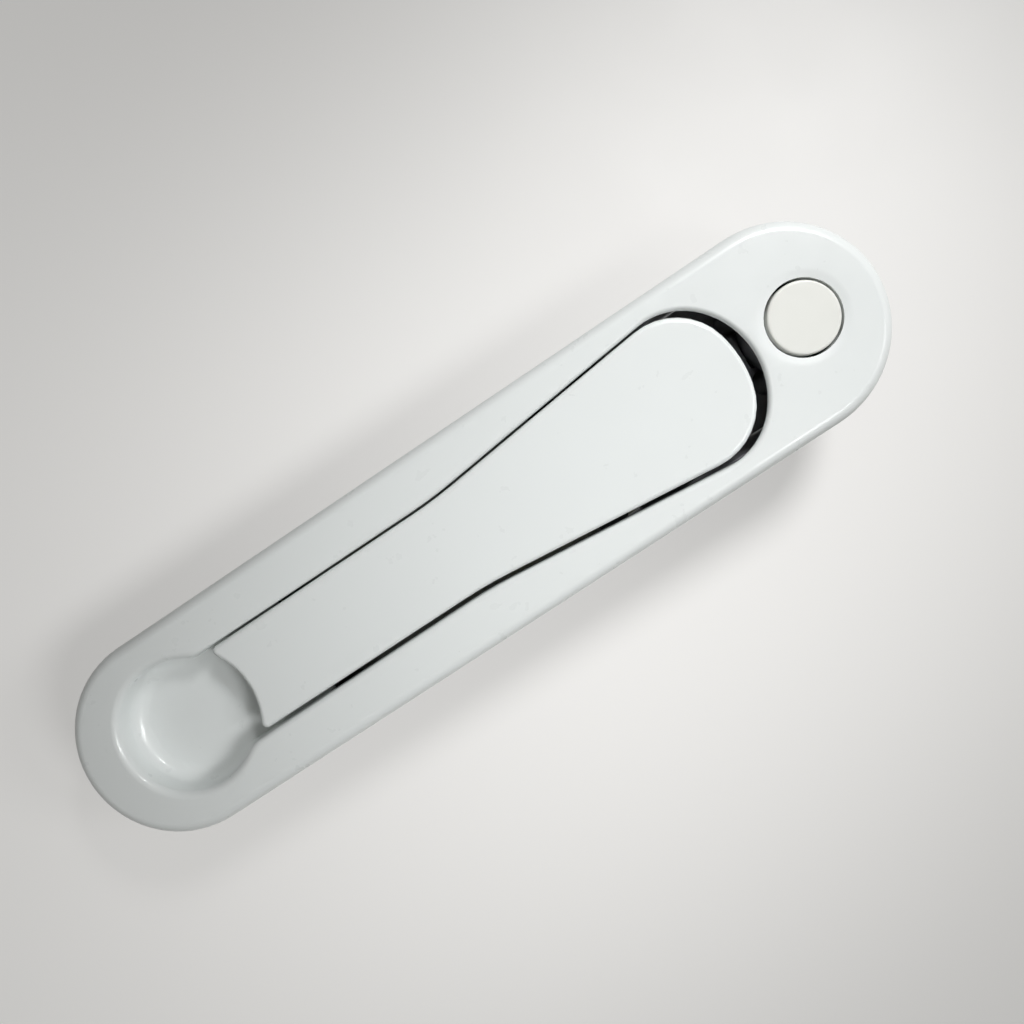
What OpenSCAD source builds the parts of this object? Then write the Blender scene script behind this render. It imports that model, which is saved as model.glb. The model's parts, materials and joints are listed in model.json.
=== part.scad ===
// Flush pop-up handle. The lever turns on a cross pin under its wide end, and its narrow end rises
// over a finger dish when the push button frees the catch. X runs along the handle towards the
// button, Z out of the face, and the origin is the middle of the back.

/* [Plate] */
// Length of the plate
plate_len = 170; // [165:1:190]
// Width of the plate
plate_w = 38; // [37.5:0.5:44]
// Thickness of the plate
plate_t = 4; // [3.8:0.1:4.6]
// Radius of the plate's outer top edge
plate_edge_r = 2.2; // [1:0.1:2.8]
// Width of the seat that lies on the panel, all round the tub
seat_w = 2.4; // [2:0.1:3]
// Thickness of the tub's walls
tub_wall = 1.8; // [1.4:0.1:2.2]

/* [Finger dish] */
// Distance of the dish's centre inside the centre of the plate's round end
dish_in = 3; // [0:0.5:5]
// Radius at which the dish's rim starts to fall
dish_r = 13.9; // [12.5:0.1:14.2]
// Depth of the dish and of the channel beside it
dish_depth = 7; // [6.5:0.1:8]
// Radius of the dish's rounded rim
dish_rim_r = 1.4; // [0.6:0.1:2]
// Radius where the dish's wall runs into its floor
dish_fillet_r = 2.6; // [1:0.1:3.5]
// Radius of the shoulder between the dish and the channel
shoulder_r = 6; // [3:0.5:9]
// Thickness of the shell under the dish and the channel
shell_t = 2; // [1.5:0.1:2.5]
// Length of the channel's floor from the dish's centre
channel_len = 25; // [23:0.5:28]

/* [Lever] */
// Width of the lever's narrow stretch
grip_w = 17.9; // [16:0.1:18.5]
// Full width that the lever's straight sides reach at its wide end
pad_w = 28.1; // [24:0.1:28.5]
// Distance from the button's centre to the lever's tip
tip_in = 12.6; // [12:0.1:14]
// Length of the stretch from where the lever starts to widen to its tip
flare_len = 59.1; // [50:0.1:65]
// Length of the wide end, beyond the straight widening sides
pad_len = 11.4; // [9:0.1:13]
// Radius of the lever's wide end
tip_r = 22; // [18:0.5:26]
// Radius of the wide end's corners
pad_corner_r = 11.5; // [8:0.5:12]
// Radius of the bend where the lever starts to widen
flare_bend_r = 90; // [40:5:140]
// Gap between the dish's rim and the lever's hollow end
dish_gap = 0.5; // [0.3:0.1:1]
// Radius of the narrow end's corners
nose_corner_r = 1; // [0.6:0.1:1.5]
// Height of the lever's skirt
lever_t = 6; // [5.5:0.1:6.2]
// Thickness of the lever's top
lever_skin = 2.2; // [1.8:0.1:2.4]
// Thickness of the lever's skirt
skirt_t = 2; // [1.5:0.1:2.4]
// Radius of the lever's top edge
lever_edge_r = 0.9; // [0.4:0.1:1.2]
// Side gap between the lever and the well
well_gap = 0.7; // [0.5:0.05:0.8]
// Part of its sideways play that the lever has taken up
lever_side = 0.25; // [0:0.05:0.25]
// Gap between the lever's tip and the end of the well
tip_gap = 2.5; // [2.4:0.1:3.2]
// Radius of the well's top edge
well_edge_r = 0.8; // [0.3:0.1:1]
// Angle that the lever opens through
lever_open = 35; // [20:1:35]

/* [Pivot] */
// Distance of the pin from the lever's tip
pin_in = 15.4; // [15:0.1:17]
// Depth of the pin's centre below the face
pin_depth = 9.5; // [9.2:0.1:10]
// Diameter of the pin
pin_d = 5; // [4:0.1:5.2]
// Diameter of the lever's hub
hub_d = 10; // [9.6:0.1:10.4]
// Half length of the hub
hub_half = 6.4; // [6:0.1:6.8]
// Wall thickness of the bushes
bush_wall = 1; // [0.8:0.1:1.2]
// Radius of the bushes' flanges
bush_flange_r = 4.6; // [4:0.1:5]
// Thickness of the bushes' flanges
bush_flange_t = 0.7; // [0.5:0.1:0.8]
// Thickness of each cheek that holds the pin
cheek_t = 2.8; // [2.4:0.1:3]
// Radius of the cheeks round the pin
cheek_r = 5; // [4.4:0.1:5.2]
// Thickness of the retaining clips
clip_t = 0.7; // [0.5:0.1:0.8]
// Radius of the pin's retaining clips
pin_clip_r = 4; // [3.6:0.1:4.4]

/* [Tail and crank] */
// Thickness of the web that carries the tail and the crank
web_t = 5; // [4:0.2:5.2]
// Reach of the tail beyond the pin
tail_len = 17; // [16.5:0.1:17.2]
// Depth of the tail's underside below the pin
tail_drop = 2.2; // [1.8:0.1:2.6]
// Distance from the pin to the hole for the rod
crank_len = 10; // [9:0.1:10.4]
// Diameter of the hole for the rod
crank_hole_d = 4.2; // [3.2:0.1:4.4]
// Radius of the crank's eye
crank_eye_r = 4; // [3.6:0.1:4.2]

/* [Push button] */
// Distance of the button's centre beyond the centre of the plate's round end
button_out = 4; // [3.5:0.1:5]
// Diameter of the button's disc
button_d = 12.9; // [12.4:0.1:13.1]
// Gap between the disc and its pocket
button_gap = 0.45; // [0.3:0.05:0.6]
// Travel of the button
button_travel = 2.5; // [1.5:0.1:2.6]
// Thickness of the button's disc
button_t = 2; // [1.6:0.1:2.4]
// Height of the button's skirt with its disc
button_skirt_h = 4.5; // [3.5:0.1:5]
// Thickness of the button's skirt
button_skirt_t = 1.2; // [1:0.1:1.3]
// Diameter of the button's stem
stem_d = 6; // [5:0.1:6.2]
// Depth of the pocket below the face
pocket_depth = 10; // [9.5:0.1:10.4]
// Thickness of the pocket's floor, which guides the stem
guide_t = 2.5; // [2:0.1:2.8]
// Wall thickness of the pocket
pocket_wall = 1.8; // [1.4:0.1:2]
// Width of the shallow ring round the button
ring_w = 1.7; // [1:0.1:2]
// Depth of the shallow ring round the button
ring_depth = 0.25; // [0.1:0.05:0.4]

/* [Catch] */
// Thickness of the catch's spring steel
leaf_t = 0.5; // [0.4:0.05:0.6]
// Half width of the catch's upright blade
leaf_half = 4.2; // [3.8:0.1:4.4]
// Hold of the catch's nib under the tail
nib_hold = 1.5; // [1:0.1:1.8]
// Stroke that the button's cone gives the catch
catch_stroke = 1; // [0.8:0.1:1.4]
// Height of the catch's foot above the cover
foot_lift = 1.6; // [1.4:0.1:1.8]
// Height of the catch's window strip above the cover, which sets how deep the handle is
strip_lift = 5.5; // [5.2:0.1:9]
// Radius of the columns that carry the catch
catch_column_r = 2.4; // [2.2:0.1:2.5]

/* [Springs] */
// Wire diameter of the lever's torsion spring
lever_wire = 1; // [0.8:0.05:1.1]
// Whole turns of the lever's torsion spring
lever_turns = 2; // [1:1:2]
// Wire diameter of the button's spring
button_wire = 0.8; // [0.6:0.05:0.9]
// Turns of the button's spring
button_turns = 5; // [4:1:6]

/* [Cover and fixings] */
// Thickness of the back cover
cover_t = 1.2; // [1:0.1:1.4]
// Distance of the cover's outer face from the back of the tub
cover_recess = 1.8; // [1.7:0.1:2]
// Diameter of the cover's screws
screw_d = 3; // [2.5:0.1:3]
// Radius of the cover screws' heads
screw_head_r = 2.7; // [2.4:0.1:2.8]
// Height of the cover screws' heads
screw_head_h = 1.5; // [1.2:0.1:1.6]
// Length of the cover screws' shanks
screw_len = 7; // [6:0.5:8]
// Distance of the dish-side cover screws from the dish's centre
screw_dish_in = 13; // [11:0.5:16]
// Distance of the lever-side cover screws from the pin
screw_pin_in = 18; // [17:0.5:24]
// Diameter of the tapped fixing holes
fixing_d = 4.2; // [3.3:0.1:4.2]
// Depth of the tapped fixing holes
fixing_depth = 10; // [8:0.5:12]
// Radius of the fixing bosses
fixing_boss_r = 3.9; // [3.6:0.1:4]
// Distance of the button-side fixing bosses from the button's centre, towards the middle
fixing_in = 1; // [0:0.1:1.5]
// Distance of the button-side fixing bosses from the centre line
fixing_y = 12.2; // [12:0.1:12.6]

/* [Hidden] */

// Clearances and the overrun of every cut
over = 1;
run_gap = 0.05;
seat_gap = 0.02;
clip_gap = 0.1;
cover_gap = 0.2;
hole_gap = 0.3;

// Steps of the rounded edges and of the arcs
edge_steps = 4;
arc_steps = 8;
bend_steps = 3;
wire_sides = 8;
turn_steps = 20;
$fn = 96;
small_fn = 48;

// Plate and tub
plate_r = plate_w / 2;
end_x = plate_len / 2 - plate_r;
clip_room = button_travel + clip_t + 3 * clip_gap;
handle_h = cover_recess + cover_t + strip_lift + leaf_t + clip_room + guide_t + pocket_depth;
tub_r = plate_r - seat_w;
tub_in_r = tub_r - tub_wall;
seat_z = handle_h - plate_t;
cover_z = cover_recess + cover_t;

// Places along the plate
dish_x = end_x - dish_in;
channel_end_x = dish_x - channel_len;
button_x = end_x + button_out;
tip_x = button_x - tip_in;
flare_x = flare_len - tip_x;
pad_x = tip_x - pad_len;
pin_x = tip_x - pin_in;
fixing_x = button_x - fixing_in;

// Dish and channel
shell_z = handle_h - dish_depth - shell_t;
channel_half = grip_w / 2 + well_gap;
dish_floor_r = channel_half + hole_gap;
dish_steps = 14;

// Lever: straight sides, pin height and the well round it
grip_half = grip_w / 2;
pad_half = pad_w / 2;
flare_angle = atan2(pad_half - grip_half, pad_x + flare_x);
nose_r = dish_r + dish_gap;
pin_z = handle_h - pin_depth;
skin_z = handle_h - lever_skin;
skirt_z = handle_h - lever_t;
well_tip_x = tip_x + tip_gap;
well_tip_r = 16;
well_corner_r = 12.5;
under_cut = 1;
under_tip_x = well_tip_x + under_cut;
under_tip_r = 30;
under_corner_r = 6;
lip_rise = 0.6;
lip_z = handle_h - well_edge_r - lip_rise;
well_lap = 7;
well_end_x = channel_end_x + well_lap;

// Lever ribs
rib_t = 1.6;
rib_depth = 4.4;
rib_xs_share = [-0.66, -0.33, 0, 0.33];
rest_rib_t = 4;
rest_rib_in = 5.5;
rest_rib_x = channel_end_x + rest_rib_in;
spine_t = 2;

// Web: its shape in the plane of the lever's swing, from the pin
web_back = 9;
web_front = 12.4;
web_foot = 4;
tail_flat = nib_hold + 2 * hole_gap;
crank_rest = lever_open / 2;

// Bushes, cheeks and pin
bush_r = pin_d / 2 + bush_wall;
bush_len = 4.2;
cheek_in = hub_half + bush_flange_t + hole_gap;
cheek_out = cheek_in + cheek_t;
block_front = 2;
block_back = 12;
block_h = 6;
groove_t = clip_t + clip_gap;
pin_groove_y = cheek_out + clip_gap;
pin_half = pin_groove_y + groove_t + clip_t;
pin_groove_r = 1.9;
clip_mouth_share = 0.75;
access_d = 7;

// Torsion spring
coil_gap = 0.55;
coil_r = hub_d / 2 + lever_wire / 2 + coil_gap;
coil_pitch = lever_wire + clip_gap;
coil_start = web_t / 2 + lever_wire / 2 + hole_gap;
up_leg = 17;
down_leg = 19;

// Button, its pocket and its spring
pocket_r = button_d / 2 + button_gap;
pocket_out_r = pocket_r + pocket_wall;
pocket_z = handle_h - pocket_depth;
guide_z = pocket_z - guide_t;
stem_r = stem_d / 2;
stem_clip_z = guide_z - clip_gap - clip_t;
stem_clip_r = 4.5;
stem_groove_r = 2.3;
nose_tip_r = 0.8;
button_round = 0.4;
button_coil_gap = 0.8;
button_coil_r = stem_r + button_wire / 2 + button_coil_gap;

// Catch
leaf_x = button_x - pocket_out_r - leaf_t - hole_gap;
foot_z = cover_z + foot_lift;
strip_z = cover_z + strip_lift;
nib_z = pin_z - tail_drop - leaf_t - seat_gap;
nib_reach = leaf_x - pin_x - tail_len + nib_hold;
nose_z = strip_z + leaf_t + clip_gap;
window_half = stem_r + cover_gap;
window_end = button_x + stem_r - catch_stroke;
window_start = button_x - stem_r - catch_stroke - hole_gap;
strip_margin = 2.2;
strip_end = window_end + strip_margin;
catch_foot = 3.5;
catch_screw_x = leaf_x + catch_foot;
catch_screw_y = leaf_half + catch_column_r + cover_gap + clip_gap;
catch_screw_r = 1.2;
catch_head_r = 2.1;
catch_head_h = 1.3;
catch_screw_len = 6;

// Cover, its columns and screws
column_wall = 1.8;
column_r = screw_d / 2 + column_wall;
column_y = tub_in_r - screw_head_r - hole_gap;
column_h = 9;
screw_dish_x = dish_x - screw_dish_in;
screw_lever_x = pin_x - screw_pin_in;
slot_half = 5;
slot_margin = 0.6;
screw_spots = [[-screw_dish_x, column_y], [-screw_dish_x, -column_y],
               [screw_lever_x, column_y], [screw_lever_x, -column_y]];
fixing_spots = [[-dish_x, 0], [fixing_x, fixing_y], [fixing_x, -fixing_y]];

// Rubber buffer under the lever's narrow end
buffer_r = 2.6;
buffer_stem_r = 1.5;

// Points along an arc, both ends included
function arc(c, r, a0, a1, n) =
    [for (i = [0:n]) let (a = a0 + (a1 - a0) * i / n) [c[0] + r * cos(a), c[1] + r * sin(a)]];

// A list without its first entry
function rest(list) = [for (i = [1:len(list) - 1]) list[i]];

// Outward normal of the edge from p to q, on a counter-clockwise outline
function edge_normal(p, q) = let (e = (q - p) / norm(q - p)) [e[1], -e[0]];

// An outline moved outwards by d, or inwards where d is negative
function grow(pts, d) =
    let (n = len(pts))
    [for (i = [0:n - 1])
        let (a = edge_normal(pts[(i + n - 1) % n], pts[i]),
             b = edge_normal(pts[i], pts[(i + 1) % n]))
        pts[i] + (a + b) * d / (1 + a * b)];

// Both halves of an outline whose upper half starts and ends on the centre line
function both_halves(half) =
    concat(half, [for (i = [len(half) - 2:-1:1]) [half[i][0], -half[i][1]]]);

// Upper half of the lever's or the well's wide end, from the tip to the straight sides
function wide_end(gap, tip, end_r, corner_r) =
    let (u = [cos(flare_angle), sin(flare_angle)],
         n = [-u[1], u[0]],
         e = [tip - end_r, 0],
         d = n * [-flare_x, grip_half] + gap - corner_r - n * e,
         p = e + d * n + sqrt(pow(end_r - corner_r, 2) - d * d) * u,
         b = atan2(p[1] - e[1], p[0] - e[0]))
    concat(arc(e, end_r, 0, b, arc_steps), rest(arc(p, corner_r, b, 90 + flare_angle, arc_steps)));

// The bend from the widening sides into the parallel ones
function flare_bend(gap) =
    let (r = flare_bend_r - gap,
         t = flare_bend_r * tan(flare_angle / 2))
    arc([-flare_x - t, grip_half + flare_bend_r], r, flare_angle - 90, -90, bend_steps);

// The lever's narrow end, t inside its outer face: a rounded corner, then a hollow arc round the dish
function hollow_end(t) =
    let (y = grip_half - t - nose_corner_r,
         x = sqrt(pow(nose_r + t + nose_corner_r, 2) - y * y),
         a = atan2(y, x))
    concat(arc([x - dish_x, y], nose_corner_r, 90, 180 + a, bend_steps),
           rest(arc([-dish_x, 0], nose_r + t, a, 0, arc_steps)));

// The lever's outline, t inside its outer face
function lever_outline(t) =
    both_halves(concat(wide_end(-t, tip_x - t, tip_r - t, pad_corner_r - t), flare_bend(-t),
                       hollow_end(t)));

// The well's outline, whose narrow end runs on into the channel
function well_outline(tip, end_r, corner_r) =
    both_halves(concat(wide_end(well_gap, tip, end_r, corner_r), flare_bend(well_gap),
                       [[-well_end_x, channel_half], [-well_end_x, 0]]));

// Radius and height of the dish's wall from its floor to the face
function dish_wall() =
    let (rim = [dish_r, -dish_rim_r],
         foot = [dish_floor_r, dish_fillet_r - dish_depth],
         away = rim - foot,
         lean = acos((dish_rim_r + dish_fillet_r) / norm(away)) - atan2(away[1], away[0]))
    concat(arc(foot, dish_fillet_r, -90, -lean, edge_steps),
           arc(rim, dish_rim_r, 180 - lean, 90, edge_steps));

// How far the well's rounded top edge has opened at a height below the face
function edge_growth(z) =
    well_edge_r - sqrt(pow(well_edge_r, 2) - pow(max(0, z + well_edge_r), 2));

// The dish and the channel as one outline, with shoulders between the straight sides and the circle
function dish_outline(r, growth) =
    let (half = channel_half + growth,
         s = shoulder_r - growth,
         y = half + s,
         x = sqrt(pow(r + s, 2) - y * y),
         a = atan2(y, x))
    both_halves(concat([[2 * over - channel_end_x, 0], [over - channel_end_x, half]],
                       arc([x - dish_x, y], s, -90, a - 180, 2 * bend_steps),
                       rest(arc([-dish_x, 0], r, a, 180, dish_steps))));

// A solid through a stack of outlines of equal length, lowest first
module stack(outlines, heights) {
    n = len(outlines[0]);
    last = len(outlines) - 1;
    points = [for (k = [0:last]) for (p = outlines[k]) [p[0], p[1], heights[k]]];
    bottom = [[for (i = [0:n - 1]) i]];
    top = [[for (i = [n - 1:-1:0]) last * n + i]];
    left = [for (k = [0:last - 1]) for (i = [0:n - 1])
        [k * n + i, (k + 1) * n + i, (k + 1) * n + (i + 1) % n]];
    right = [for (k = [0:last - 1]) for (i = [0:n - 1])
        [k * n + i, (k + 1) * n + (i + 1) % n, k * n + (i + 1) % n]];
    polyhedron(points, concat(bottom, top, left, right));
}

// A round wire along a path; flat is the direction that the path mostly keeps square to
module wire(path, r, flat) {
    n = len(path);
    rings = [for (i = [0:n - 1])
        let (step = path[min(i + 1, n - 1)] - path[max(i - 1, 0)],
             t = step / norm(step),
             s = cross(t, flat) / norm(cross(t, flat)),
             f = cross(s, t))
        [for (k = [0:wire_sides - 1])
            let (a = 360 * k / wire_sides)
            path[i] + r * (cos(a) * s + sin(a) * f)]];
    points = [for (ring = rings) for (p = ring) p];
    ends = [[for (k = [0:wire_sides - 1]) k],
            [for (k = [wire_sides - 1:-1:0]) (n - 1) * wire_sides + k]];
    left = [for (i = [0:n - 2]) for (k = [0:wire_sides - 1])
        [i * wire_sides + k, (i + 1) * wire_sides + k,
         (i + 1) * wire_sides + (k + 1) % wire_sides]];
    right = [for (i = [0:n - 2]) for (k = [0:wire_sides - 1])
        [i * wire_sides + k, (i + 1) * wire_sides + (k + 1) % wire_sides,
         i * wire_sides + (k + 1) % wire_sides]];
    polyhedron(points, concat(ends, left, right));
}

// A flat outline with round ends, along X
module stadium(r, c) {
    square([2 * c, 2 * r], center = true);
    for (s = [-1, 1]) translate([s * c, 0]) circle(r);
}

// An arm with a round end, hanging straight down from the pin
module arm(r, len) {
    translate([-r, -len]) square([2 * r, len]);
    translate([0, -len]) circle(r);
}

// Turns a flat shape drawn in X and Z upright, its middle on the centre line
module upright(t) {
    rotate([90, 0, 0]) linear_extrude(t, center = true) children();
}

// A cylinder across the handle, from y0 to y1
module cross_rod(r, y0, y1) {
    translate([0, y1, 0]) rotate([90, 0, 0]) cylinder(h = y1 - y0, r = r);
}

// Half section of the plate: a flat disc with a rounded top edge
module plate_section() {
    polygon(concat([[0, 0], [plate_r, 0]],
        arc([plate_r - plate_edge_r, plate_t - plate_edge_r], plate_edge_r, 0, 90, 2 * edge_steps),
        [[0, plate_t]]));
}

module plate() {
    translate([0, 0, seat_z]) {
        for (s = [0, 1]) mirror([s, 0, 0]) translate([end_x, 0, 0])
            rotate([0, 0, -90]) rotate_extrude(angle = 180) plate_section();
        rotate([90, 0, 90]) linear_extrude(2 * end_x, center = true)
            for (s = [0, 1]) mirror([s, 0]) plate_section();
    }
}

// The shell under the dish and under the channel beside it
module dish_shell() {
    foot_r = dish_fillet_r + shell_t;
    translate([-dish_x, 0, shell_z]) rotate_extrude()
        polygon(concat([[0, 0]], arc([dish_floor_r, foot_r], foot_r, -90, 0, 2 * edge_steps),
                       [[dish_floor_r + foot_r, seat_z + plate_t / 2 - shell_z],
                        [0, seat_z + plate_t / 2 - shell_z]]));
    translate([-dish_x, -channel_half - shell_t, shell_z])
        cube([dish_x - channel_end_x, 2 * (channel_half + shell_t), seat_z + plate_t / 2 - shell_z]);
}

// The dish and the channel under the lever's narrow end
module dish_cut() {
    wall = dish_wall();
    stack(concat([for (p = wall) dish_outline(p[0], edge_growth(p[1]))],
                 [dish_outline(dish_r, well_edge_r)]),
          concat([for (p = wall) handle_h + p[1]], [handle_h + over]));
}

// The well through the plate, with a rounded top edge and an end that opens out below
module well_cut() {
    face = well_outline(well_tip_x, well_tip_r, well_corner_r);
    under = well_outline(under_tip_x, under_tip_r, under_corner_r);
    rise = [for (p = dish_wall()) if (p[1] > -well_edge_r) p[1]];
    stack(concat([under, under, face], [for (z = rise) grow(face, edge_growth(z))],
                 [grow(face, well_edge_r)]),
          concat([seat_z - over, lip_z, handle_h - well_edge_r],
                 [for (z = rise) handle_h + z], [handle_h + over]));
}

module tub_wall() {
    linear_extrude(seat_z + plate_t / 2) difference() {
        stadium(tub_r, end_x);
        stadium(tub_in_r, end_x);
    }
}

// One of the two cheeks that hold the pin, with the block that joins it to the tub's wall
module cheek() {
    translate([pin_x, (cheek_in + cheek_out) / 2, pin_z]) upright(cheek_t) {
        circle(cheek_r, $fn = small_fn);
        polygon([[cheek_r * cos(30), -cheek_r * sin(30)], [-cheek_r * cos(45), cheek_r * sin(45)],
                 [-block_back, cover_z + block_h - pin_z], [-block_back, cover_z - pin_z],
                 [-block_front, cover_z - pin_z]]);
    }
    translate([pin_x - block_back, cheek_in, cover_z])
        cube([block_back - block_front, tub_in_r + tub_wall / 2 - cheek_in, block_h]);
}

module button_pocket() {
    translate([button_x, 0, guide_z]) cylinder(h = seat_z + plate_t / 2 - guide_z, r = pocket_out_r);
    for (s = [-1, 1]) translate([catch_screw_x, s * catch_screw_y, foot_z + leaf_t])
        cylinder(h = seat_z + plate_t / 2 - foot_z - leaf_t, r = catch_column_r, $fn = small_fn);
}

module button_cut() {
    translate([button_x, 0, handle_h]) rotate_extrude()
        polygon([[0, -pocket_depth], [pocket_r, -pocket_depth], [pocket_r, -ring_depth],
                 [pocket_r + ring_w, 0], [pocket_r + ring_w, over], [0, over]]);
    translate([button_x, 0, guide_z - over])
        cylinder(h = guide_t + 2 * over, r = stem_r + run_gap, $fn = small_fn);
}

// Column for a cover screw, grown out of the tub's wall
module screw_column(spot) {
    translate([spot[0], spot[1], cover_z])
        cylinder(h = column_h, r = column_r, $fn = small_fn);
}

module body_casting() {
    color([0.90, 0.92, 0.92]) difference() {
        union() {
            plate();
            tub_wall();
            intersection() {
                dish_shell();
                linear_extrude(seat_z + plate_t / 2) stadium(tub_in_r + tub_wall / 2, end_x);
            }
            for (s = [0, 1]) mirror([0, s, 0]) cheek();
            button_pocket();
            for (spot = screw_spots) screw_column(spot);
            translate([-dish_x, 0, 0])
                cylinder(h = shell_z + shell_t / 2, r = fixing_boss_r, $fn = small_fn);
            for (s = [-1, 1]) translate([fixing_x, s * fixing_y, 0])
                cylinder(h = seat_z + plate_t / 2, r = fixing_boss_r, $fn = small_fn);
        }
        well_cut();
        dish_cut();
        button_cut();
        translate([pin_x, 0, pin_z]) cross_rod(pin_d / 2 + seat_gap, -cheek_out - over, cheek_out + over);
        for (s = [0, 1]) mirror([0, s, 0]) translate([pin_x, 0, pin_z])
            cross_rod(access_d / 2, tub_in_r - over, tub_r + over);
        for (spot = screw_spots) translate([spot[0], spot[1], cover_z - over])
            cylinder(h = screw_len - cover_t + 2 * over, r = screw_d / 2 + seat_gap, $fn = small_fn);
        for (spot = fixing_spots) translate([spot[0], spot[1], -over])
            cylinder(h = fixing_depth + over, r = fixing_d / 2, $fn = small_fn);
        for (s = [-1, 1]) translate([catch_screw_x, s * catch_screw_y, foot_z + leaf_t - over])
            cylinder(h = catch_screw_len + over, r = catch_screw_r + seat_gap, $fn = small_fn);
        translate([-rest_rib_x, 0, shell_z - over])
            cylinder(h = shell_t + 2 * over, r = buffer_stem_r + seat_gap, $fn = small_fn);
    }
}

// Half width of the lever at a place along it
function lever_half(x) = grip_half + max(0, x + flare_x) * tan(flare_angle);

// A rib across the lever's hollow side
module cross_rib(x, t, depth) {
    half = lever_half(x) - skirt_t / 2;
    translate([x - t / 2, -half, handle_h - depth]) cube([t, 2 * half, depth - lever_skin / 2]);
}

module lever_shell() {
    outline = lever_outline(0);
    rise = [for (k = [0:edge_steps]) 90 * k / edge_steps];
    difference() {
        stack(concat([outline], [for (a = rise) grow(outline, lever_edge_r * (cos(a) - 1))]),
              concat([skirt_z], [for (a = rise) handle_h - lever_edge_r * (1 - sin(a))]));
        translate([0, 0, skirt_z - over]) linear_extrude(lever_t - lever_skin + over)
            polygon(lever_outline(skirt_t));
    }
}

// Web under the lever's top that carries the hub, the tail and the crank
module lever_web() {
    translate([pin_x, 0, pin_z]) upright(web_t) {
        polygon([[-web_back, skin_z - pin_z + lever_skin / 2], [web_front, skin_z - pin_z + lever_skin / 2],
                 [web_front, skirt_z - pin_z], [tail_len, 0], [tail_len, -tail_drop],
                 [tail_len - tail_flat, -tail_drop], [web_foot, -web_foot], [-web_foot, -tail_drop]]);
        rotate(crank_rest) arm(crank_eye_r, crank_len);
    }
}

module lever() {
    color([0.91, 0.93, 0.93]) translate([0, lever_side, 0]) difference() {
        union() {
            lever_shell();
            lever_web();
            translate([pin_x, 0, pin_z]) cross_rod(hub_d / 2, -hub_half, hub_half);
            translate([-rest_rib_x, -spine_t / 2, handle_h - rib_depth])
                cube([rest_rib_x + pin_x - web_back + spine_t, spine_t, rib_depth - lever_skin / 2]);
            cross_rib(-rest_rib_x, rest_rib_t, lever_t);
            for (share = rib_xs_share) cross_rib(share * pin_x, rib_t, rib_depth);
        }
        translate([pin_x, 0, pin_z]) {
            cross_rod(bush_r + seat_gap, -hub_half - over, hub_half + over);
            rotate([0, -crank_rest, 0]) translate([0, 0, -crank_len])
                cross_rod(crank_hole_d / 2, -web_t / 2 - over, web_t / 2 + over);
        }
    }
}

// Shaft along Y from the middle, with a groove near each end
module pivot_pin() {
    color([0.72, 0.73, 0.75]) translate([pin_x, 0, pin_z]) rotate([90, 0, 0]) rotate_extrude()
        polygon([[0, -pin_half], [pin_d / 2, -pin_half], [pin_d / 2, -pin_groove_y - groove_t],
                 [pin_groove_r, -pin_groove_y - groove_t], [pin_groove_r, -pin_groove_y],
                 [pin_d / 2, -pin_groove_y], [pin_d / 2, pin_groove_y], [pin_groove_r, pin_groove_y],
                 [pin_groove_r, pin_groove_y + groove_t], [pin_d / 2, pin_groove_y + groove_t],
                 [pin_d / 2, pin_half], [0, pin_half]]);
}

// Retaining clip: a ring with an open mouth
module open_clip(r_out, r_in) {
    linear_extrude(clip_t) difference() {
        circle(r_out, $fn = small_fn);
        circle(r_in, $fn = small_fn);
        translate([0, -r_in * clip_mouth_share])
            square([r_out + over, 2 * r_in * clip_mouth_share]);
    }
}

module pivot_clip() {
    color([0.45, 0.46, 0.48]) translate([pin_x, pin_groove_y + clip_gap + clip_t, pin_z])
        rotate([90, 90, 0]) open_clip(pin_clip_r, pin_groove_r + run_gap);
}

module pivot_clip_left() { pivot_clip(); }
module pivot_clip_right() { mirror([0, 1, 0]) pivot_clip(); }

module pivot_bush() {
    color([0.93, 0.92, 0.86]) translate([pin_x, 0, pin_z]) difference() {
        union() {
            cross_rod(bush_r, hub_half - bush_len, hub_half + bush_flange_t);
            cross_rod(bush_flange_r, hub_half, hub_half + bush_flange_t);
        }
        cross_rod(pin_d / 2 + run_gap, hub_half - bush_len - over, hub_half + bush_flange_t + over);
    }
}

module pivot_bush_left() { translate([0, lever_side, 0]) pivot_bush(); }
module pivot_bush_right() { translate([0, lever_side, 0]) mirror([0, 1, 0]) pivot_bush(); }

// Coil round the hub, with one leg up against the lever and one down on the cover
module lever_spring() {
    up_z = skin_z - pin_z - lever_wire / 2 - seat_gap;
    down_z = cover_z - pin_z + lever_wire / 2 + seat_gap;
    turns = lever_turns + 1 / 2;
    coil = [for (i = [0:turns * turn_steps])
        let (a = 90 - 360 * i / turn_steps)
        [coil_r * cos(a), coil_start + coil_pitch * i / turn_steps, coil_r * sin(a)]];
    color([0.55, 0.56, 0.58]) translate([pin_x, 0, pin_z])
        wire(concat([[-up_leg, coil_start, up_z]], coil,
                    [[-down_leg, coil_start + coil_pitch * turns, down_z]]),
             lever_wire / 2, [0, 1, 0]);
}

module back_cover() {
    swing = crank_len * sin(crank_rest) + crank_eye_r + slot_margin;
    color([0.66, 0.68, 0.70]) translate([0, 0, cover_recess]) linear_extrude(cover_t) difference() {
        stadium(tub_in_r - cover_gap, end_x);
        translate([pin_x - swing, -slot_half]) square([2 * swing, 2 * slot_half]);
        for (spot = screw_spots) translate(spot) circle(screw_d / 2 + cover_gap / 2, $fn = small_fn);
        for (spot = fixing_spots) translate(spot) circle(fixing_boss_r + hole_gap, $fn = small_fn);
    }
}

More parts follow.
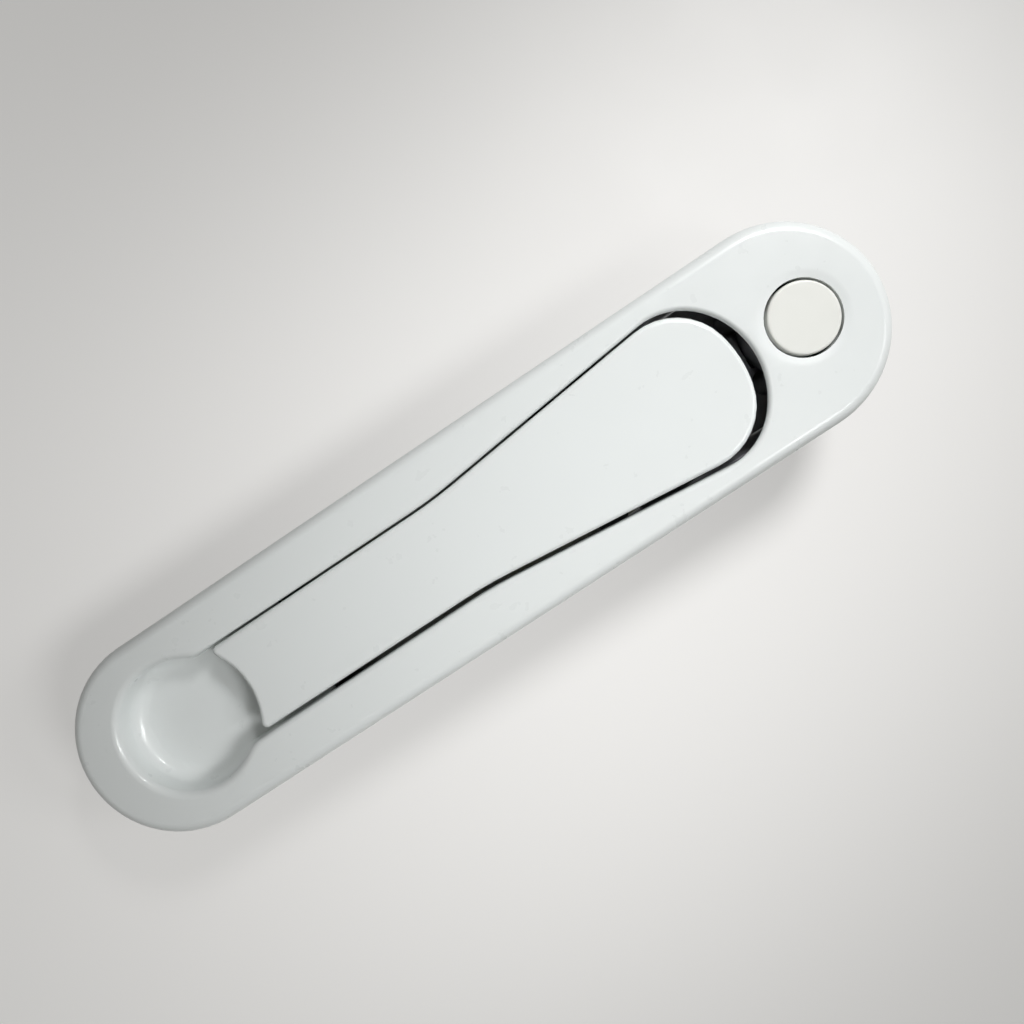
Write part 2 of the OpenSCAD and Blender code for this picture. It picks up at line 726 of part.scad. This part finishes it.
// Pan-head screw with a slot, its head down and its shank up, the seat of its head at zero
module screw(r, head_r, head_h, len) {
    slot_w = head_r / 4;
    dome = head_h / 3;
    difference() {
        rotate_extrude($fn = small_fn)
            polygon([[0, len], [r, len], [r, 0], [head_r, 0], [head_r, dome - head_h],
                     [head_r - dome, -head_h], [0, -head_h]]);
        translate([-head_r, -slot_w / 2, -head_h - over]) cube([2 * head_r, slot_w, dome + over]);
    }
}

module cover_screw(i) {
    color([0.50, 0.51, 0.54]) translate([screw_spots[i][0], screw_spots[i][1], cover_recess])
        screw(screw_d / 2, screw_head_r, screw_head_h, screw_len);
}

module cover_screw_1() { cover_screw(0); }
module cover_screw_2() { cover_screw(1); }
module cover_screw_3() { cover_screw(2); }
module cover_screw_4() { cover_screw(3); }

// Disc, skirt and stem turned as one, with a groove for the clip and a cone at the stem's end
module push_button() {
    r = button_d / 2;
    in_r = r - button_skirt_t;
    clip_low = stem_clip_z - clip_gap / 2 - handle_h;
    nose = nose_z - handle_h;
    color([0.89, 0.89, 0.84]) translate([button_x, 0, handle_h]) rotate_extrude()
        polygon(concat([[0, 0]],
            arc([r - button_round, -button_round], button_round, 90, 0, edge_steps),
            [[r, -button_skirt_h], [in_r, -button_skirt_h], [in_r, -button_t], [stem_r, -button_t],
             [stem_r, clip_low + groove_t], [stem_groove_r, clip_low + groove_t],
             [stem_groove_r, clip_low], [stem_r, clip_low], [stem_r, nose + stem_r - nose_tip_r],
             [nose_tip_r, nose], [0, nose]]));
}

module button_spring() {
    low = pocket_z + button_wire / 2;
    high = handle_h - button_t - button_wire / 2;
    steps = button_turns * turn_steps;
    color([0.62, 0.63, 0.66]) translate([button_x, 0, 0])
        wire([for (i = [0:steps])
                let (a = 360 * i / turn_steps)
                [button_coil_r * cos(a), button_coil_r * sin(a), low + (high - low) * i / steps]],
             button_wire / 2, [0, 0, 1]);
}

module button_clip() {
    color([0.45, 0.46, 0.48]) translate([button_x, 0, stem_clip_z])
        open_clip(stem_clip_r, stem_groove_r + run_gap);
}

// Bent strip: a foot, an upright blade with the nib that holds the tail, and a strip with a window
module catch_leaf() {
    color([0.70, 0.71, 0.74]) {
        upright_blade = [[leaf_x, foot_z], [leaf_x + leaf_t, foot_z], [leaf_x + leaf_t, nib_z + leaf_t],
                         [leaf_x - nib_reach, nib_z + leaf_t], [leaf_x - nib_reach, nib_z],
                         [leaf_x, nib_z]];
        upright(2 * leaf_half) polygon(upright_blade);
        translate([0, 0, foot_z]) linear_extrude(leaf_t) difference() {
            union() {
                translate([leaf_x, -catch_screw_y]) square([catch_screw_x - leaf_x, 2 * catch_screw_y]);
                for (s = [-1, 1]) translate([catch_screw_x, s * catch_screw_y])
                    circle(catch_column_r + cover_gap, $fn = small_fn);
            }
            for (s = [-1, 1]) translate([catch_screw_x, s * catch_screw_y])
                circle(catch_screw_r + cover_gap, $fn = small_fn);
        }
        translate([0, 0, strip_z]) linear_extrude(leaf_t) difference() {
            translate([leaf_x, -leaf_half]) square([strip_end - leaf_x, 2 * leaf_half]);
            translate([window_start, -window_half]) square([window_end - window_start, 2 * window_half]);
        }
    }
}

module catch_screw() {
    color([0.50, 0.51, 0.54]) translate([catch_screw_x, catch_screw_y, foot_z])
        screw(catch_screw_r, catch_head_r, catch_head_h, catch_screw_len);
}

module catch_screw_left() { catch_screw(); }
module catch_screw_right() { mirror([0, 1, 0]) catch_screw(); }

module lever_buffer() {
    color([0.12, 0.12, 0.13]) translate([-rest_rib_x, 0, 0]) {
        translate([0, 0, handle_h - dish_depth])
            cylinder(h = dish_depth - lever_t, r = buffer_r, $fn = small_fn);
        translate([0, 0, shell_z])
            cylinder(h = dish_depth - lever_t + shell_t, r = buffer_stem_r, $fn = small_fn);
    }
}

body_casting();
lever();
pivot_pin();
pivot_clip_left();
pivot_clip_right();
pivot_bush_left();
pivot_bush_right();
lever_spring();
back_cover();
cover_screw_1();
cover_screw_2();
cover_screw_3();
cover_screw_4();
push_button();
button_spring();
button_clip();
catch_leaf();
catch_screw_left();
catch_screw_right();
lever_buffer();
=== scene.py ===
import json
import math

import bmesh
import bpy
from mathutils import Matrix, Vector


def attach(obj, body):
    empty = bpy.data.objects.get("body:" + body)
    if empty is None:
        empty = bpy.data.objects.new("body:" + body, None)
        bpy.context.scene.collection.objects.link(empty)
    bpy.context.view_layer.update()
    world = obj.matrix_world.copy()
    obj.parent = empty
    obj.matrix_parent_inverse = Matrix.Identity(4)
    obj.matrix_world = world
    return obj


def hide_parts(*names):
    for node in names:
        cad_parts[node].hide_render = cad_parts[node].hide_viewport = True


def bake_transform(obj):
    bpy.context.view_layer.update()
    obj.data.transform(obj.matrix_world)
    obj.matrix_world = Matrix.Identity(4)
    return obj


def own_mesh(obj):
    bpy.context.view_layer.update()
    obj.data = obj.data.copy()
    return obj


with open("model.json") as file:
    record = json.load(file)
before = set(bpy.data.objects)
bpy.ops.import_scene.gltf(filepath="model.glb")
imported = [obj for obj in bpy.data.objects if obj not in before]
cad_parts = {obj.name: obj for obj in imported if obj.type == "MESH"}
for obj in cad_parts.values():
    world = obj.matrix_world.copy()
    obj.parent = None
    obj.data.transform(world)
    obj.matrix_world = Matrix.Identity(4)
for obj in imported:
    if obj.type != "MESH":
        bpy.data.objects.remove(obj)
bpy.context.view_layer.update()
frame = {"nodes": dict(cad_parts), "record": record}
nodes = frame["nodes"]
scene = bpy.context.scene

MM = 0.001
FACE_Z = 25 * MM
UNDER = -0.1 * MM              # floor, just under the casting's rim

# Where the white enamel gives way to the dark painted shade inside the casting
SPINE = 66 * MM                # half length of the plate's straight middle line
SHADE_FADE = (22.0 * MM, 23.2 * MM)
FLANGE_Z, FLANGE_OUT = 20.9 * MM, 16.55 * MM
DISH_X, DISH_OUT, DISH_Z = -36.5 * MM, 14.4 * MM, 17.2 * MM

# Camera, fitted to the photograph: turn from the handle's frame to the camera's, shift in millimetres
PICTURE, FOCAL = 1024, 800     # in pixels
TURN = Vector((3.058573, -0.920321, -0.088026))
SHIFT = Vector((-7.852705, 4.894989, 142.739032))
turn = Matrix.Rotation(TURN.length, 3, TURN.normalized())
cam_data = bpy.data.cameras.new("camera")
cam_data.sensor_fit = "HORIZONTAL"
cam_data.sensor_width = 36
cam_data.lens = cam_data.sensor_width * FOCAL / PICTURE
cam_data.clip_start = 0.005
cam_data.clip_end = 10
camera = bpy.data.objects.new("camera", cam_data)
scene.collection.objects.link(camera)
place = turn.transposed() @ (-SHIFT) * MM + Vector((0, 0, FACE_Z))
axes = Matrix((turn[0], -turn[1], -turn[2])).transposed()
camera.matrix_world = Matrix.Translation(place) @ axes.to_4x4()
scene.camera = camera


class Nodes:
    """Short helper that builds one material's node tree in object coordinates."""

    def __init__(self, name):
        self.mat = bpy.data.materials.new(name)
        self.mat.use_nodes = True
        self.tree = self.mat.node_tree
        self.bsdf = self.tree.nodes["Principled BSDF"]
        self.where = self.add("ShaderNodeTexCoord").outputs["Object"]

    def add(self, kind, **values):
        node = self.tree.nodes.new(kind)
        for key, value in values.items():
            setattr(node, key, value)
        return node

    def link(self, a, b):
        self.tree.links.new(a, b)

    def stretched(self, scale):
        m = self.add("ShaderNodeMapping")
        m.inputs["Scale"].default_value = scale
        self.link(self.where, m.inputs["Vector"])
        return m.outputs["Vector"]

    def noise(self, scale, detail=3.0, rough=0.5, vector=None):
        n = self.add("ShaderNodeTexNoise")
        n.inputs["Scale"].default_value = scale
        n.inputs["Detail"].default_value = detail
        n.inputs["Roughness"].default_value = rough
        self.link(vector or self.where, n.inputs["Vector"])
        return n.outputs["Fac"]

    def cells(self, scale):
        n = self.add("ShaderNodeTexVoronoi")
        n.inputs["Scale"].default_value = scale
        self.link(self.where, n.inputs["Vector"])
        return n.outputs["Distance"]

    def span(self, value, lo, hi, to_lo=0.0, to_hi=1.0):
        n = self.add("ShaderNodeMapRange")
        n.inputs["From Min"].default_value = lo
        n.inputs["From Max"].default_value = hi
        n.inputs["To Min"].default_value = to_lo
        n.inputs["To Max"].default_value = to_hi
        self.link(value, n.inputs["Value"])
        return n.outputs["Result"]

    def mix(self, fac, a, b):
        n = self.add("ShaderNodeMix", data_type="RGBA")
        self.link(fac, n.inputs["Factor"])
        for socket, value in ((n.inputs["A"], a), (n.inputs["B"], b)):
            if hasattr(value, "is_output"):
                self.link(value, socket)
            else:
                socket.default_value = (*value, 1)
        return n.outputs["Result"]

    def bump(self, height, strength, distance, after=None):
        n = self.add("ShaderNodeBump")
        n.inputs["Strength"].default_value = strength
        n.inputs["Distance"].default_value = distance
        self.link(height, n.inputs["Height"])
        if after:
            self.link(after, n.inputs["Normal"])
        return n.outputs["Normal"]

    def math(self, operation, a, b=0.0):
        n = self.add("ShaderNodeMath", operation=operation)
        for socket, value in ((n.inputs[0], a), (n.inputs[1], b)):
            if hasattr(value, "is_output"):
                self.link(value, socket)
            else:
                socket.default_value = value
        return n.outputs[0]

    def blend(self, fac, a, b):
        return self.math("ADD", self.math("MULTIPLY", fac, b),
                         self.math("MULTIPLY", self.math("SUBTRACT", 1.0, fac), a))

    def white_not_shade(self):
        """1 where the white enamel shows: the face, the flange, the dish and the channel; 0 inside
        the casting, which gets painted shade.
        """
        split = self.add("ShaderNodeSeparateXYZ")
        self.link(self.where, split.inputs[0])
        x, y, z = split.outputs
        past = self.math("MAXIMUM", self.math("SUBTRACT", self.math("ABSOLUTE", x), SPINE), 0.0)
        out = self.math("POWER", self.math("ADD", self.math("MULTIPLY", past, past),
                                           self.math("MULTIPLY", y, y)), 0.5)
        # The rim of the painted shade is made ragged by noise in height
        ragged_z = self.math("ADD", z, self.span(self.noise(600, 3), 0.2, 0.8, -0.4 * MM, 0.4 * MM))
        face = self.span(ragged_z, *SHADE_FADE)
        flange = self.math("MULTIPLY", self.math("GREATER_THAN", z, FLANGE_Z),
                           self.math("GREATER_THAN", out, FLANGE_OUT))
        dish = self.math("MULTIPLY", self.math("LESS_THAN", x, DISH_X),
                         self.math("LESS_THAN", out, DISH_OUT))
        dish = self.math("MULTIPLY", dish, self.math("GREATER_THAN", z, DISH_Z))
        return self.math("MAXIMUM", self.math("MAXIMUM", face, flange), dish)

    def finish(self, colour, rough, normal=None, **sockets):
        self.link(colour, self.bsdf.inputs["Base Color"])
        self.link(rough, self.bsdf.inputs["Roughness"])
        if normal:
            self.link(normal, self.bsdf.inputs["Normal"])
        for key, value in sockets.items():
            self.bsdf.inputs[key.replace("_", " ")].default_value = value
        return self.mat


def enamel(name, base, shade, speck, interior_shade=None):
    """White enamel over a casting: faint orange peel, a little tone drift, a few dust specks.

    The last argument is a dark colour painted inside the casting as shade for its deep, unlit
    hollows.
    """
    n = Nodes(name)
    drift = n.mix(n.span(n.noise(28, 2), 0.35, 0.65), base, shade)
    dots = n.span(n.cells(420), 0.0, 0.035, 1.0, 0.0)
    few = n.span(n.noise(130, 1), 0.60, 0.66)
    colour = n.mix(n.math("MULTIPLY", dots, few), drift, speck)
    peel = n.bump(n.noise(900, 2, 0.4), 0.05, 0.00004)
    wave = n.bump(n.noise(95, 2), 0.06, 0.0004, peel)
    rough = n.span(n.noise(300, 3), 0.3, 0.7, 0.27, 0.36)
    # Inside the casting the colour is painted shade, dark and a little mottled, for the hollows that
    # lie unlit
    if interior_shade:
        white_not_shade = n.white_not_shade()
        painted_shade = n.mix(n.noise(700, 4), interior_shade, tuple(c * 1.7 for c in interior_shade))
        colour = n.mix(white_not_shade, painted_shade, colour)
        rough = n.blend(white_not_shade, n.span(n.noise(900, 3), 0.3, 0.7, 0.55, 0.7), rough)
    return n.finish(colour, rough, wave, Coat_Weight=0.3, Coat_Roughness=0.1, IOR=1.5)


def plastic(name, base, shade, rough_lo, rough_hi, grain):
    """Moulded plastic: soft drift in tone and a fine spark-eroded grain."""
    n = Nodes(name)
    colour = n.mix(n.span(n.noise(60, 3), 0.3, 0.7), base, shade)
    normal = n.bump(n.noise(2600, 3, 0.6), grain, 0.00005)
    return n.finish(colour, n.span(n.noise(700, 3), 0.3, 0.7, rough_lo, rough_hi), normal)


def metal(name, base, shade, stretch, rough_lo, rough_hi):
    """Ground or drawn metal: fine lines along one way, stains in the roughness."""
    n = Nodes(name)
    lines = n.noise(1.0, 3, 0.6, n.stretched(stretch))
    colour = n.mix(n.span(n.noise(160, 3), 0.35, 0.7), base, shade)
    rough = n.span(n.noise(220, 3), 0.3, 0.7, rough_lo, rough_hi)
    return n.finish(colour, rough, n.bump(lines, 0.18, 0.00004), Metallic=1.0)


def zinc(name):
    """Zinc-plated sheet: spangled tone, cool and slightly yellowed in patches."""
    n = Nodes(name)
    spangle = n.span(n.cells(240), 0.0, 0.8)
    colour = n.mix(spangle, (0.58, 0.60, 0.63), (0.72, 0.73, 0.73))
    stain = n.mix(n.span(n.noise(40, 3), 0.52, 0.72), colour, (0.66, 0.62, 0.50))
    rough = n.span(n.noise(180, 4), 0.3, 0.7, 0.30, 0.46)
    lines = n.noise(1.0, 2, 0.6, n.stretched((120, 3200, 1200)))
    return n.finish(stain, rough, n.bump(lines, 0.12, 0.00003), Metallic=1.0)


def rubber(name):
    """Moulded rubber: near black, dull and finely pebbled."""
    n = Nodes(name)
    colour = n.mix(n.noise(500, 3), (0.018, 0.018, 0.019), (0.032, 0.032, 0.033))
    return n.finish(colour, n.span(n.noise(900, 3), 0.3, 0.7, 0.62, 0.78),
                    n.bump(n.noise(2200, 3), 0.3, 0.00005))


# The plate's last colour is painted shade for the dark hollows inside the casting
PLATE = enamel("plate_enamel", (0.800, 0.832, 0.826), (0.788, 0.818, 0.813), (0.46, 0.45, 0.42),
               (0.105, 0.105, 0.115))
LEVER = enamel("lever_enamel", (0.804, 0.836, 0.830), (0.792, 0.822, 0.817), (0.46, 0.45, 0.42))
IVORY = plastic("button_ivory", (0.800, 0.808, 0.768), (0.778, 0.784, 0.744), 0.30, 0.40, 0.16)
ACETAL = plastic("bush_acetal", (0.84, 0.82, 0.74), (0.80, 0.78, 0.70), 0.34, 0.46, 0.12)
STEEL = metal("pin_steel", (0.62, 0.63, 0.65), (0.52, 0.53, 0.55), (2600, 160, 2600), 0.20, 0.34)
SCREW = metal("screw_steel", (0.60, 0.61, 0.62), (0.48, 0.48, 0.49), (1500, 1500, 1500), 0.26, 0.42)
SPRING = metal("spring_steel", (0.40, 0.41, 0.43), (0.30, 0.31, 0.33), (1800, 1800, 1800), 0.24, 0.40)
BLUED = metal("clip_steel", (0.20, 0.21, 0.24), (0.13, 0.14, 0.17), (1500, 1500, 1500), 0.28, 0.44)
ZINC = zinc("cover_zinc")
RUBBER = rubber("buffer_rubber")

LOOKS = {
    "body_casting": PLATE, "lever": LEVER, "push_button": IVORY, "pivot_pin": STEEL,
    "pivot_clip_left": BLUED, "pivot_clip_right": BLUED, "button_clip": BLUED,
    "pivot_bush_left": ACETAL, "pivot_bush_right": ACETAL, "lever_spring": SPRING,
    "button_spring": SPRING, "catch_leaf": SPRING, "back_cover": ZINC,
    "cover_screw_1": SCREW, "cover_screw_2": SCREW, "cover_screw_3": SCREW,
    "cover_screw_4": SCREW, "catch_screw_left": SCREW, "catch_screw_right": SCREW,
    "lever_buffer": RUBBER,
}
for name, node in nodes.items():
    node.data.materials.clear()
    node.data.materials.append(LOOKS[name])


BODY_OF = {name: body for body, names in frame["record"]["behaviour"]["bodies"].items()
           for name in names}


def refined(node, name, angle, rides=True):
    """A copy of a CAD node, welded and with weighted normals, so that its curves shade as curves."""
    mesh = bpy.data.meshes.new(name)
    bm = bmesh.new()
    bm.from_mesh(nodes[node].data)
    bmesh.ops.remove_doubles(bm, verts=bm.verts, dist=2e-6)
    bmesh.ops.dissolve_degenerate(bm, dist=1e-6, edges=bm.edges)
    for face in bm.faces:
        face.smooth = True
    for edge in bm.edges:
        edge.smooth = len(edge.link_faces) == 2 and edge.calc_face_angle(0) < math.radians(angle)
    bm.to_mesh(mesh)
    bm.free()
    mesh.materials.append(LOOKS[node])
    piece = bpy.data.objects.new(name, mesh)
    scene.collection.objects.link(piece)
    weigh = piece.modifiers.new("weights", "WEIGHTED_NORMAL")
    weigh.mode = "FACE_AREA"
    weigh.weight = 100
    weigh.keep_sharp = True
    if rides:
        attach(piece, BODY_OF[node])
    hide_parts(node)
    return piece


refined("body_casting", "plate_and_tub", 38)
refined("lever", "lever_casting", 38)
refined("push_button", "thumb_button", 32)
torsion = refined("lever_spring", "torsion_spring", 60, rides=False)
squeezed = refined("button_spring", "compression_spring", 60)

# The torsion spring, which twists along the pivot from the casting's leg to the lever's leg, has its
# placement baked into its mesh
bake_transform(torsion)
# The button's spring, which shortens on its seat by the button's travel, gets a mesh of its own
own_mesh(squeezed)


def seen(tree):
    """1 for the rays that see the background, 0 for those that carry its light to the object."""
    path = tree.nodes.new("ShaderNodeLightPath").outputs
    most = path["Is Camera Ray"]
    for ray in ("Is Glossy Ray", "Is Transmission Ray"):
        node = tree.nodes.new("ShaderNodeMath")
        node.operation = "MAXIMUM"
        tree.links.new(most, node.inputs[0])
        tree.links.new(path[ray], node.inputs[1])
        most = node.outputs[0]
    return most


def plain(name, colour, rough, glow):
    """Pale matt sheet that still takes shadows: part of its paleness is only there to be seen."""
    n = Nodes(name)
    tone = n.mix(n.noise(3, 2), colour, tuple(c * 0.985 for c in colour))
    n.bsdf.inputs["Emission Color"].default_value = (*colour, 1)
    n.link(n.math("MULTIPLY", seen(n.tree), glow), n.bsdf.inputs["Emission Strength"])
    return n.finish(tone, n.span(n.noise(40, 2), 0.3, 0.7, rough - 0.04, rough + 0.04))


def sheet(name, corners, material):
    """One flat face of the room around the object."""
    mesh = bpy.data.meshes.new(name)
    mesh.from_pydata([Vector(c) for c in corners], [], [list(range(len(corners)))])
    mesh.materials.append(material)
    obj = bpy.data.objects.new(name, mesh)
    scene.collection.objects.link(obj)
    return obj


PALE = plain("pale_floor", (0.52, 0.515, 0.505), 0.6, 0.72)
ROOM = 2
sheet("floor", [(-ROOM, -ROOM, UNDER), (ROOM, -ROOM, UNDER), (ROOM, ROOM, UNDER),
                (-ROOM, ROOM, UNDER)], PALE)
sheet("backdrop", [(-ROOM, ROOM, -0.01), (ROOM, ROOM, -0.01), (ROOM, ROOM, ROOM),
                   (-ROOM, ROOM, ROOM)], PALE)


def spot(name, at, aim, angle, power, soft=0.05):
    """A soft round lamp, whose beam fades to nothing at its rim."""
    data = bpy.data.lights.new(name, "SPOT")
    data.energy = power
    data.spot_size = angle
    data.spot_blend = 1.0
    data.shadow_soft_size = soft
    lamp = bpy.data.objects.new(name, data)
    scene.collection.objects.link(lamp)
    lamp.location = at
    lamp.rotation_euler = (Vector(aim) - lamp.location).to_track_quat("-Z", "Y").to_euler()


spot("key", (0.24, 0.13, 0.28), (0.07, 0, 0.025), 0.70, 4.46)
spot("left", (0.14, -0.14, 0.325), (-0.06, 0, 0.025), 0.80, 1.81)
spot("low", (0.26, -0.12, 0.28), (-0.06, -0.02, 0.025), 0.70, 1.18)
world = bpy.data.worlds.new("world")
world.use_nodes = True
sky = world.node_tree.nodes["Background"]
sky.inputs["Color"].default_value = (0.97, 0.965, 0.92, 1)
shown = world.node_tree.nodes.new("ShaderNodeMath")
shown.operation = "MULTIPLY_ADD"
world.node_tree.links.new(seen(world.node_tree), shown.inputs[0])
SKY_LIGHT, SKY_EXTRA = 0.152, 0.30      # strength on the object, and what the eye sees on top
shown.inputs[1].default_value = SKY_EXTRA
shown.inputs[2].default_value = SKY_LIGHT
world.node_tree.links.new(shown.outputs[0], sky.inputs["Strength"])
scene.world = world
scene.view_settings.view_transform = "Standard"
